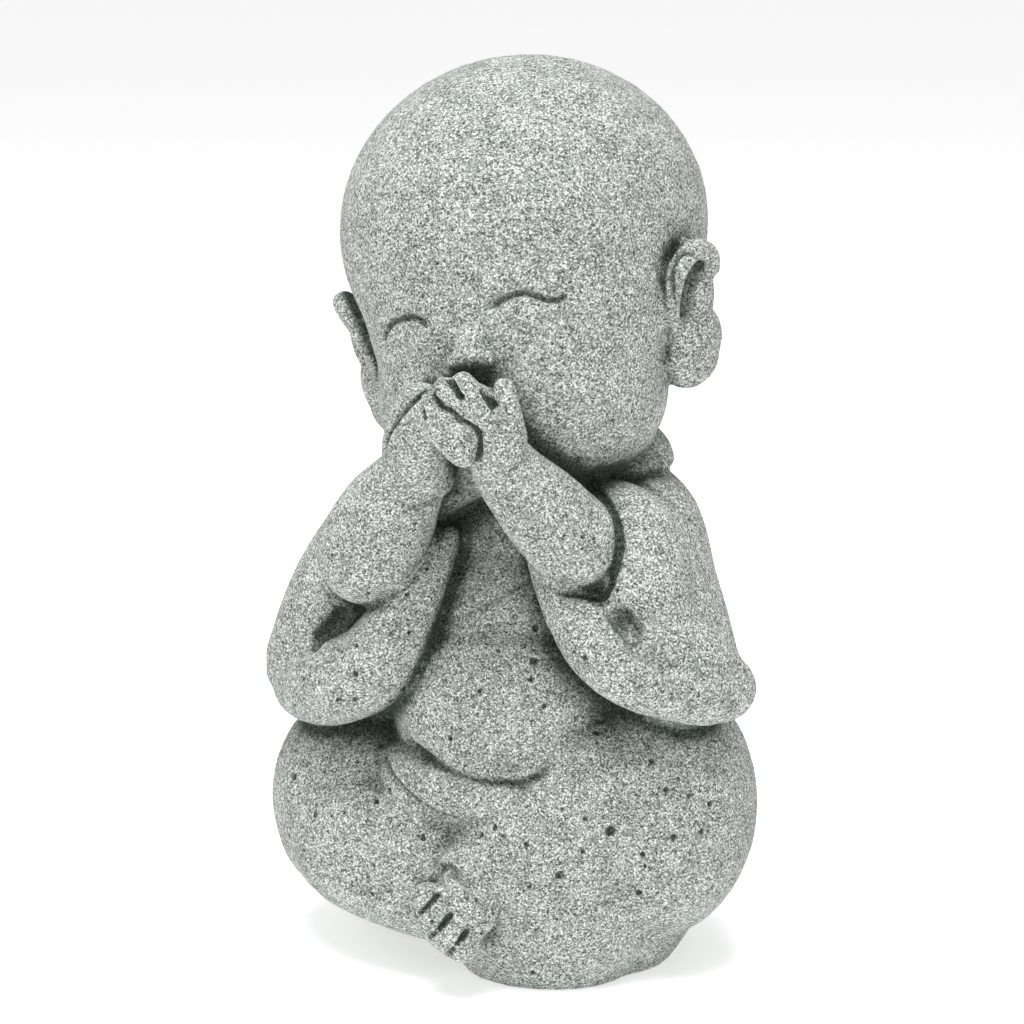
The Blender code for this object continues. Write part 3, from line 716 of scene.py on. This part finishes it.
@dataclass
class Statue:
    """The whole casting: its body parts in one skin, with its carving, pores and wear.

    Lengths are in units.

    Attributes:
        lumps: the low lumps of its wear, each row a size and a height.
        shade_rays: how many rays go out from each vertex to see how hemmed in it is.
        ray_lift: how far off the skin they start.
        ray_axis: a direction that turns the rays the same way on the whole skin.
        crease_reach: within what distance something is the other side of a crease.
        crease_share: how much that adds to how hemmed in a vertex is.
        bend_share: how much a hollow of the skin itself adds, and a ridge takes off.
        bend_limits: the sharpest ridge and hollow that count.
        underside_height: below what height a face is part of the underside.
    """

    head: Head = Head()
    robe: Robe = Robe()
    legs: Legs = Legs()
    hands: Hands = Hands()
    carving: Carving = Carving()
    pores: Pores = Pores()
    grain: float = 0.5
    smoothing: int = 4
    triangles: int = 192_000
    lumps: tuple[Row, ...] = ((5.0, 0.22), (1.9, 0.13))
    shade_rays: int = 16
    shade_reach: float = 24.0
    ray_lift: float = 0.12
    ray_axis: Row = (0.36, 0.48, 0.8)
    crease_reach: float = 5.0
    crease_share: float = 0.22
    bend_share: float = 0.4
    bend_limits: Row = (-0.06, 0.3)
    underside_height: float = 0.05

    def model(self) -> bpy.types.Object:
        """Models the casting.

        Returns:
            One closed mesh that stands on z = 0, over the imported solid.
        """
        parts = []
        for name, part in (("head", self.head), ("robe", self.robe), ("legs", self.legs),
                           ("hands", self.hands)):
            made = part.model()
            LOG.info("%s: %d masses fused", name, len(made))
            parts += made
        skin = fused(joined(parts, "mortar_skin"), self.grain, self.smoothing)
        self._carve(skin)
        finish_with(skin, "SMOOTH", factor=0.5, iterations=1)
        self._weather(skin)
        self._pit(skin)
        self._stand(skin)
        self._shade(skin)
        return skin

    def _carve(self, skin: bpy.types.Object) -> None:
        """Sinks the skin where a line is pressed into it."""
        data = skin.data
        tree = search_tree(data)
        places, normals = vertex_rows(data, "co") / UNIT, vertex_rows(data, "normal")
        sunk = self.carving.press(places, normals, tree)
        data.vertices.foreach_set("co", ((places - normals * sunk[:, None]) * UNIT).ravel())
        data.update()

    def _weather(self, skin: bpy.types.Object) -> None:
        """Gives the skin the low lumps of a worn sand casting."""
        for size, height in self.lumps:
            clouds = bpy.data.textures.new("lumps", "CLOUDS")
            clouds.noise_scale = size * UNIT
            clouds.noise_depth = 1
            finish_with(skin, "DISPLACE", texture=clouds, texture_coords="LOCAL",
                        strength=height * UNIT, mid_level=0.5)
            bpy.data.textures.remove(clouds)

    def _pit(self, skin: bpy.types.Object) -> None:
        """Cuts the skin finer round each pore, and presses the pores into it."""
        data = skin.data
        places = vertex_rows(data, "co") / UNIT
        pores = self.pores.place(places, search_tree(data))
        near = np.zeros(len(places), bool)
        times, more = self.pores.cut_reach
        for *spot, radius in pores:
            near |= ((places - spot) ** 2).sum(1) < (radius * times + more) ** 2
        select_only(skin)
        bpy.ops.object.mode_set(mode="EDIT")
        bpy.ops.mesh.select_mode(type="VERT")
        bpy.ops.mesh.select_all(action="DESELECT")
        bpy.ops.object.mode_set(mode="OBJECT")
        data.vertices.foreach_set("select", near)
        bpy.ops.object.mode_set(mode="EDIT")
        bpy.ops.mesh.subdivide(number_cuts=self.pores.cuts)
        bpy.ops.object.mode_set(mode="OBJECT")
        places, normals = vertex_rows(data, "co") / UNIT, vertex_rows(data, "normal")
        for *spot, radius in pores:
            gaps = np.linalg.norm(places - spot, axis=1)
            inside = np.flatnonzero(gaps < radius)
            way = normals[gaps.argmin()]
            depth = radius * self.pores.depth * (1 - (gaps[inside] / radius) ** 2) ** self.pores.bowl
            places[inside] -= way * depth[:, None]
        data.vertices.foreach_set("co", (places * UNIT).ravel())
        data.update()

    def _shade(self, skin: bpy.types.Object) -> None:
        """Writes how hemmed in each vertex is, from 0 in the open to 1, for the darkening of crevices,
        partly dirt and partly painted shade.
        """
        data = skin.data
        tree = search_tree(data)
        places, normals = vertex_rows(data, "co") / UNIT, vertex_rows(data, "normal")
        golden = math.pi * (3 - math.sqrt(5))
        hidden = np.zeros(len(places))
        for k in range(self.shade_rays):
            share = (k + 0.5) / self.shade_rays
            out, level = math.sqrt(share), math.sqrt(1 - share)
            across = np.cross(normals, self.ray_axis)
            across /= np.linalg.norm(across, axis=1)[:, None] + 1e-9
            over = np.cross(normals, across)
            ways = across * (out * math.cos(k * golden)) + over * (out * math.sin(k * golden))
            ways += normals * level
            starts = places + normals * self.ray_lift
            for i, (start, way) in enumerate(zip(starts.tolist(), ways.tolist())):
                gap = tree.ray_cast(start, way, self.shade_reach)[3]
                if gap is not None:
                    close = max(0.0, 1 - gap / self.crease_reach)
                    hidden[i] += 1 - gap / self.shade_reach + close * self.crease_share
        hidden /= self.shade_rays
        around, spread = neighbour_means(data, places)
        bend = ((around - places) * normals).sum(1) / np.maximum(spread, 1e-6)
        hidden += self.bend_share * np.clip(bend, *self.bend_limits)
        around = neighbour_means(data, hidden[:, None])[0]
        # This recess value drives painted shade in the crevices as well as their dirt.
        recess = data.attributes.new("recess", "FLOAT", "POINT")
        recess.data.foreach_set("value", (hidden + around[:, 0]) / 2)

    def _stand(self, skin: bpy.types.Object) -> None:
        """Brings the skin to the solid's height, cuts it flat, thins it and centres it."""
        top = vertex_rows(skin.data, "co")[:, 2].max()
        skin.data.transform(Matrix.Scale(HEIGHT / top, 4))
        select_only(skin)
        bpy.ops.object.mode_set(mode="EDIT")
        bpy.ops.mesh.select_all(action="SELECT")
        bpy.ops.mesh.bisect(plane_co=(0, 0, 0), plane_no=(0, 0, -1), use_fill=True, clear_outer=True,
                            threshold=1e-7)
        bpy.ops.mesh.select_all(action="SELECT")
        bpy.ops.mesh.quads_convert_to_tris()
        bpy.ops.object.mode_set(mode="OBJECT")
        ratio = self.triangles / len(skin.data.polygons)
        if ratio < 1:
            finish_with(skin, "DECIMATE", ratio=ratio)
        rows = vertex_rows(skin.data, "co")
        low, high = rows.min(0), rows.max(0)
        cad_middle = (cad_low + cad_high) / 2
        shift = Vector((cad_middle.x - (low[0] + high[0]) / 2, cad_middle.y - (low[1] + high[1]) / 2, 0))
        skin.data.transform(Matrix.Translation(shift))


def neighbour_means(data: bpy.types.Mesh, rows: np.ndarray) -> tuple[np.ndarray, np.ndarray]:
    """The mean of a value over each vertex's neighbours, and how far theirs are from its own.

    Args:
        data: the mesh.
        rows: the value of every vertex, one row each.

    Returns:
        The mean row, and the mean distance between a row and its neighbours' rows.
    """
    edges = np.empty(len(data.edges) * 2, np.int32)
    data.edges.foreach_get("vertices", edges)
    edges = edges.reshape(-1, 2)
    gaps = np.linalg.norm(rows[edges[:, 0]] - rows[edges[:, 1]], axis=1)
    total, spread, count = np.zeros_like(rows), np.zeros(len(rows)), np.zeros(len(rows))
    for a, b in ((0, 1), (1, 0)):
        np.add.at(total, edges[:, a], rows[edges[:, b]])
        np.add.at(spread, edges[:, a], gaps)
        np.add.at(count, edges[:, a], 1)
    count = np.maximum(count, 1)
    return total / count[:, None], spread / count


def search_tree(data: bpy.types.Mesh) -> BVHTree:
    """A mesh as a search tree, in units."""
    places = [vert.co / UNIT for vert in data.vertices]
    return BVHTree.FromPolygons(places, [tuple(face.vertices) for face in data.polygons])


def vertex_rows(data: bpy.types.Mesh, name: str) -> np.ndarray:
    """A vector of every vertex of a mesh, such as its place, one row each."""
    rows = np.empty(len(data.vertices) * 3)
    data.vertices.foreach_get(name, rows)
    return rows.reshape(-1, 3)


class Sheet:
    """A node tree that is filled one node at a time."""

    def __init__(self, tree: bpy.types.NodeTree) -> None:
        self.tree = tree

    def add(self, kind: str, inputs: dict[str | int, object], **settings: object) -> bpy.types.Node:
        """Adds a node.

        Args:
            kind: the node's type.
            inputs: what goes into each input: the output of another node, or a constant.
            settings: the node's own settings.

        Returns:
            The node.
        """
        node = self.tree.nodes.new(kind)
        for name, value in settings.items():
            setattr(node, name, value)
        for key, value in inputs.items():
            if isinstance(value, Socket):
                self.tree.links.new(value, node.inputs[key])
            else:
                node.inputs[key].default_value = value
        return node

    def math(self, operation: str, *values: object, clamp: bool = False) -> Socket:
        """The result of a sum of one, two or three values."""
        return self.add("ShaderNodeMath", dict(enumerate(values)), operation=operation,
                        use_clamp=clamp).outputs[0]

    def spread(self, value: Socket, low: object, high: object) -> Socket:
        """A value spread from 0 at low to 1 at high, smoothly and no further."""
        return self.add("ShaderNodeMapRange", {0: value, 1: low, 2: high},
                        interpolation_type="SMOOTHSTEP").outputs[0]

    def ramp(self, value: Socket, stops: Path) -> Socket:
        """A colour looked up in a row of stops, each a place, red, green and blue."""
        node = self.add("ShaderNodeValToRGB", {0: value})
        elements = node.color_ramp.elements
        while len(elements) < len(stops):
            elements.new(0.5)
        for element, stop in zip(elements, stops):
            element.position = stop[0]
        for element, stop in zip(elements, stops):
            element.color = (*stop[1:], 1)
        return node.outputs[0]

    def total(self, *terms: tuple[Socket, float]) -> Socket:
        """The sum of several values, each times its share."""
        result = self.math("MULTIPLY", *terms[0])
        for value, share in terms[1:]:
            result = self.math("MULTIPLY_ADD", value, share, result)
        return result

    def noise(self, place: Socket, per_mm: float, detail: float, roughness: float) -> Socket:
        """Soft noise whose patches are about one divided by per_mm wide, in millimetres."""
        return self.add("ShaderNodeTexNoise", {"Vector": place, "Scale": per_mm, "Detail": detail,
                                               "Roughness": roughness}).outputs[0]


def node_group(name: str, inputs: dict[str, str], outputs: dict[str, str]) -> tuple[Sheet, dict, object]:
    """Starts a shader node group.

    Args:
        name: the group's name.
        inputs: the kind of each input.
        outputs: the kind of each output.

    Returns:
        Its sheet, its inputs by name, and the node that takes its outputs.
    """
    tree = bpy.data.node_groups.new(name, "ShaderNodeTree")
    for in_out, sockets in (("INPUT", inputs), ("OUTPUT", outputs)):
        for socket, kind in sockets.items():
            tree.interface.new_socket(socket, in_out=in_out, socket_type=f"NodeSocket{kind}")
    given = tree.nodes.new("NodeGroupInput")
    return Sheet(tree), {name: given.outputs[name] for name in inputs}, tree.nodes.new("NodeGroupOutput")


@dataclass(frozen=True)
class Sand:
    """Sand grains in cement: a lightness for each grain, and how far it stands out.

    Attributes:
        grains_per_mm: how many coarse and fine grains there are in a millimetre.
        shares: how much of the lightness coarse grains, fine grains and cement each make.
        heights: how much of the height they each make.
        cement: the cement's patches in a millimetre, their detail and their roughness.
        mottle: the same of the slow mottling over the whole casting.
        middle: the sum that becomes a lightness of one half.
    """

    grains_per_mm: Row = (2.8, 4.2)
    shares: Row = (0.44, 0.42, 0.34)
    heights: Row = (0.5, 0.25, 0.6)
    cement: Row = (2.6, 3.0, 0.7)
    mottle: Row = (0.14, 3.0, 0.6)
    mottle_share: float = 0.24
    middle: float = 0.6
    contrast: float = 1.95

    def build(self) -> bpy.types.NodeTree:
        """Builds the node group."""
        sheet, given, out = node_group("sand grains", {"Place": "Vector"},
                                       {"Lightness": "Float", "Height": "Float"})
        place = given["Place"]
        grains = []
        for per_mm in self.grains_per_mm:
            cells = sheet.add("ShaderNodeTexVoronoi", {"Vector": place, "Scale": per_mm, "Randomness": 1.0})
            grains.append(sheet.add("ShaderNodeSeparateColor", {0: cells.outputs["Color"]}).outputs)
        coarse, fine = grains
        cement = sheet.noise(place, *self.cement)
        mixed = sheet.total(*zip((coarse[0], fine[0], cement), self.shares))
        mottle = sheet.math("MULTIPLY_ADD", sheet.noise(place, *self.mottle), self.mottle_share,
                            -self.mottle_share / 2)
        mixed = sheet.math("SUBTRACT", sheet.math("ADD", mixed, mottle), self.middle)
        lightness = sheet.math("MULTIPLY_ADD", mixed, self.contrast, 0.5, clamp=True)
        sheet.tree.links.new(lightness, out.inputs["Lightness"])
        height = sheet.total(*zip((coarse[1], fine[1], cement), self.heights))
        sheet.tree.links.new(height, out.inputs["Height"])
        return sheet.tree


@dataclass(frozen=True)
class Pinholes:
    """Pinholes too small to be cut into the mesh: a mask that is 1 inside each, for their dent in the bump
    and their painted shade.

    Attributes:
        per_mm: how many cells there are in a millimetre, each with one pinhole at most.
        without: the share of the cells that have none.
        radius: the largest radius, over the edge of a cell.
        rim: the width of its soft rim, over the same.
    """

    per_mm: float = 0.62
    without: float = 0.62
    radius: float = 0.26
    rim: float = 0.07

    def build(self) -> bpy.types.NodeTree:
        """Builds the node group."""
        sheet, given, out = node_group("pinholes", {"Place": "Vector"}, {"Mask": "Float"})
        cells = sheet.add("ShaderNodeTexVoronoi", {"Vector": given["Place"], "Scale": self.per_mm,
                                                   "Randomness": 1.0})
        random = sheet.add("ShaderNodeSeparateColor", {0: cells.outputs["Color"]}).outputs[0]
        reach = sheet.math("MULTIPLY", sheet.spread(random, self.without, 1.0), self.radius)
        gap = sheet.math("SUBTRACT", reach, cells.outputs["Distance"])
        sheet.tree.links.new(sheet.spread(gap, 0.0, self.rim), out.inputs["Mask"])
        return sheet.tree


@dataclass(frozen=True)
class GrimeAndShade:
    """Darkening of crevices, partly dark green dirt and partly painted shade: a mask from how hemmed in a
    place is.

    Attributes:
        patches: the darkening's patches in a millimetre, their detail and their roughness.
        patchiness: how far they shift where it starts.
    """

    patches: Row = (0.45, 4.0, 0.65)
    patchiness: float = 0.22

    def build(self) -> bpy.types.NodeTree:
        """Builds the node group."""
        values = dict.fromkeys(("Recess", "Start", "End"), "Float")
        sheet, given, out = node_group("crevice grime and painted shade", {"Place": "Vector", **values}, {"Mask": "Float"})
        patch = sheet.math("MULTIPLY_ADD", sheet.noise(given["Place"], *self.patches), self.patchiness,
                           -self.patchiness / 2)
        value = sheet.math("ADD", given["Recess"], patch)
        sheet.tree.links.new(sheet.spread(value, given["Start"], given["End"]), out.inputs["Mask"])
        return sheet.tree


@dataclass(frozen=True)
class MortarFinish:
    """Cast mortar: matt, with light and dark sand grains, pinholes darkened with painted shade, and
    crevices darkened partly by dirt and partly by painted shade.

    Attributes:
        name: the material's name.
        stops: the colour of the darkest to the lightest grains.
        tone: what all of them are multiplied by; the underside's lower tone is painted shade.
        pinhole: what the inside of a pinhole multiplies the colour by, as painted shade in holes too small
            for the mesh.
        grime_and_shade: what the crevice darkening, partly dirt and partly painted shade, multiplies it by.
        grime_and_shade_from: how hemmed in a place is where that darkening starts.
        grime_and_shade_full: how hemmed in it is where that darkening is thickest.
        roughness: how matt the mortar is.
        relief: how far the grains stand out, in metres.
    """

    name: str = "cast_mortar"
    stops: Path = ((0.0, 0.055, 0.066, 0.060), (0.25, 0.215, 0.240, 0.218), (0.5, 0.325, 0.352, 0.328),
                   (0.75, 0.430, 0.458, 0.433), (1.0, 0.830, 0.850, 0.825))
    tone: float = 1.0
    # Painted shade inside the pinholes.
    pinhole: Row = (0.3, 0.32, 0.3, 1)
    # Colour of the crevice darkening: partly dirt, partly painted shade.
    grime_and_shade: Row = (0.17, 0.20, 0.17, 1)
    grime_and_shade_from: float = 0.08
    grime_and_shade_full: float = 0.50
    roughness: float = 0.92
    relief: float = 0.00022

    def build(self, sand: bpy.types.NodeTree, pinholes: bpy.types.NodeTree,
              grime_and_shade: bpy.types.NodeTree) -> bpy.types.Material:
        """Builds the material from the shared node groups."""
        material = bpy.data.materials.new(self.name)
        material.use_nodes = True
        sheet = Sheet(material.node_tree)
        shader = material.node_tree.nodes["Principled BSDF"]
        place = sheet.add("ShaderNodeTexCoord", {}).outputs["Object"]
        place = sheet.add("ShaderNodeVectorMath", {0: place, 3: MM_IN_METRE}, operation="SCALE").outputs[0]
        recess = sheet.add("ShaderNodeAttribute", {}, attribute_name="recess").outputs["Fac"]
        grains = sheet.add("ShaderNodeGroup", {}, node_tree=sand)
        holes = sheet.add("ShaderNodeGroup", {}, node_tree=pinholes)
        dirt_and_shade = sheet.add("ShaderNodeGroup", {}, node_tree=grime_and_shade)
        for node in (grains, holes, dirt_and_shade):
            sheet.tree.links.new(place, node.inputs["Place"])
        sheet.tree.links.new(recess, dirt_and_shade.inputs["Recess"])
        dirt_and_shade.inputs["Start"].default_value = self.grime_and_shade_from
        dirt_and_shade.inputs["End"].default_value = self.grime_and_shade_full
        stops = tuple((stop[0], *(self.tone * value for value in stop[1:])) for stop in self.stops)
        colour = sheet.ramp(grains.outputs["Lightness"], stops)
        # Painted shade: the pinholes darken the colour, and the crevice mask darkens it partly as dirt and
        # partly as painted shade.
        for layer, tint in ((holes, self.pinhole), (dirt_and_shade, self.grime_and_shade)):
            colour = sheet.add("ShaderNodeMix", {0: layer.outputs["Mask"], 6: colour, 7: tint},
                               data_type="RGBA", blend_type="MULTIPLY").outputs[2]
        sheet.tree.links.new(colour, shader.inputs["Base Color"])
        shader.inputs["Roughness"].default_value = self.roughness
        shader.inputs["Specular IOR Level"].default_value = 0.3
        height = sheet.math("SUBTRACT", grains.outputs["Height"], holes.outputs["Mask"])
        bump = sheet.add("ShaderNodeBump", {"Strength": 0.75, "Distance": self.relief, "Height": height})
        sheet.tree.links.new(bump.outputs[0], shader.inputs["Normal"])
        return material


@dataclass
class Studio:
    """A pale floor, soft light, and a camera at the photograph's viewing angle.

    Lengths are in metres and angles in degrees.

    Attributes:
        azimuth: how far the camera is to the figure's left of straight ahead.
        aim_across: how far the place it aims at is moved to the right of the picture.
        sensor: the width of the camera's sensor, in millimetres.
    """

    azimuth: float = 21.0
    elevation: float = 11.0
    distance: float = 0.700
    aim_across: float = -0.0036
    aim: Row = (0.00115, 0.0044, 0.09925)
    pixels_per_mm: float = 4.49
    picture_width: int = 1024
    sensor: float = 36.0

    def build(self) -> None:
        """Builds the floor, the lights and the camera."""
        self._floor()
        self._light("key", left_of_camera=14, elevation=75, distance=1.3, watts=18.0, size=0.7)
        self._light("fill", left_of_camera=60, elevation=25, distance=1.6, watts=2.0, size=1.4)
        world = bpy.data.worlds.new("studio")
        world.use_nodes = True
        background = world.node_tree.nodes["Background"]
        background.inputs["Color"].default_value = (1, 1, 1, 1)
        background.inputs["Strength"].default_value = 0.5
        bpy.context.scene.world = world
        bpy.context.scene.view_settings.view_transform = "Standard"
        self._camera()

    @staticmethod
    def _direction(azimuth: float, elevation: float) -> Vector:
        """The direction from the statue to a place round it, in degrees. Azimuth 0 is in front."""
        a, e = math.radians(azimuth), math.radians(elevation)
        return Vector((math.sin(a) * math.cos(e), -math.cos(a) * math.cos(e), math.sin(e)))

    @staticmethod
    def _floor() -> None:
        """A wide plain floor."""
        bpy.ops.object.select_all(action="DESELECT")
        bpy.ops.mesh.primitive_plane_add(size=200.0, location=(0, 0, 0))
        floor = bpy.context.object
        floor.name = "studio_floor"
        material = bpy.data.materials.new("pale_floor")
        material.use_nodes = True
        shader = material.node_tree.nodes["Principled BSDF"]
        shader.inputs["Base Color"].default_value = (0.96, 0.96, 0.96, 1)
        shader.inputs["Roughness"].default_value = 0.8
        shader.inputs["Emission Color"].default_value = (1, 1, 1, 1)
        shader.inputs["Emission Strength"].default_value = 0.45
        floor.data.materials.append(material)

    def _light(self, name: str, left_of_camera: float, elevation: float, distance: float,
               watts: float, size: float) -> None:
        """A soft square light that points at the statue."""
        way = self._direction(self.azimuth - left_of_camera, elevation)
        bpy.ops.object.light_add(type="AREA", location=way * distance + Vector((0, 0, HEIGHT / 2)))
        light = bpy.context.object
        light.name = name
        light.rotation_mode = "QUATERNION"
        light.rotation_quaternion = (-way).to_track_quat("-Z", "Y")
        light.data.energy = watts
        light.data.size = size

    def _camera(self) -> None:
        """The camera, as far away and as long as the photograph's own."""
        back = self._direction(self.azimuth, self.elevation)
        a = math.radians(self.azimuth)
        aim = Vector(self.aim) + Vector((math.cos(a), math.sin(a), 0)) * self.aim_across
        bpy.ops.object.camera_add(location=aim + back * self.distance)
        camera = bpy.context.object
        camera.rotation_mode = "QUATERNION"
        camera.rotation_quaternion = (-back).to_track_quat("-Z", "Y")
        camera.data.sensor_width = self.sensor
        camera.data.lens = (self.sensor * self.pixels_per_mm * self.distance * MM_IN_METRE
                            / self.picture_width)
        bpy.context.scene.camera = camera


def main() -> None:
    """Builds the studio and the statue."""
    logging.basicConfig(level=logging.INFO, format="%(name)s: %(message)s")
    Studio().build()
    statue = Statue()
    skin = statue.model()
    shared = (Sand().build(), Pinholes().build(), GrimeAndShade().build())
    mortar = MortarFinish()
    # The underside copy of the mortar is made 0.85 as dark: painted shade under the figure.
    for finish in (mortar, replace(mortar, name="cast_underside", tone=0.85, relief=0.0004)):
        skin.data.materials.append(finish.build(*shared))
    flat = vertex_rows(skin.data, "co")[:, 2] < statue.underside_height * UNIT
    for face in skin.data.polygons:
        face.material_index = int(all(flat[i] for i in face.vertices))
    skin.data.shade_smooth()
    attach(skin, "root")
    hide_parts(NODE)
    LOG.info("mortar skin: %d triangles", len(skin.data.polygons))


if __name__ == "__main__":
    main()
